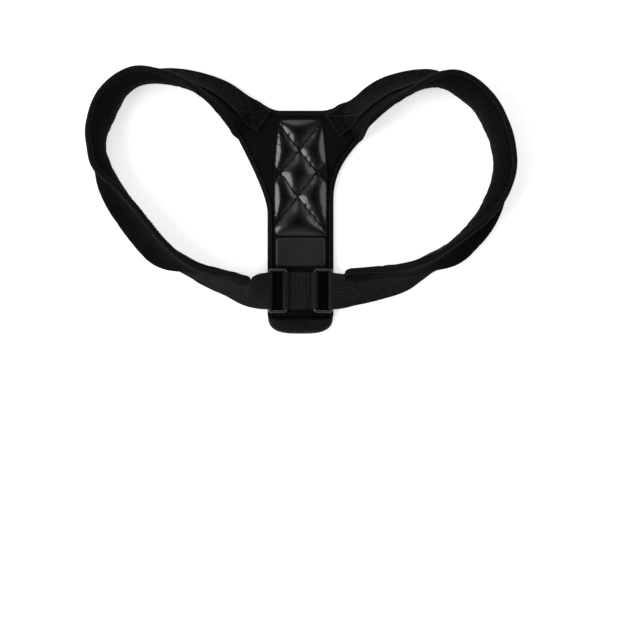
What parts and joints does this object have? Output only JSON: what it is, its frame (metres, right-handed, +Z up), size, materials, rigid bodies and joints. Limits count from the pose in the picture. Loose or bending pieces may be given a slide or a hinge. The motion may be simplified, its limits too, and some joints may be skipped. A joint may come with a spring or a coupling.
{
  "type": "posture corrector",
  "caption": "Black Y-shaped padded back brace with two looped shoulder straps, wire rings, webbing and a quilted glossy spine patch, laid flat.",
  "frame": {"origin": "middle of the area the brace covers, on the table it lies on", "axes": "+X across the back, +Y up the spine towards the neck edge, +Z up, out of the outer face"},
  "size_m": [0.4314, 0.2676, 0.0396],
  "materials": {
    "padded_cloth": "matt knitted facing over foam",
    "binding": "folded woven binding, satin",
    "webbing": "woven webbing, slight sheen",
    "quilted_leather": "glossy coated, quilted",
    "label": "smooth, half matt",
    "ring_metal": "black, glossy"
  },
  "bodies": {
    "root": {"back_panel": "padded_cloth", "bottom_cap": "padded_cloth", "neck_binding": "binding", "side_binding_left": "binding", "side_binding_right": "binding", "quilted_patch": "quilted_leather", "label_patch": "label", "ring_strap": "webbing", "strap_left": "padded_cloth", "strap_binding_left": "binding", "arm_tape_left": "webbing", "ring_webbing_left": "webbing", "ring_left": "ring_metal", "strap_right": "padded_cloth", "strap_binding_right": "binding", "arm_tape_right": "webbing", "ring_webbing_right": "webbing", "ring_right": "ring_metal"}
  },
  "joints": []
}
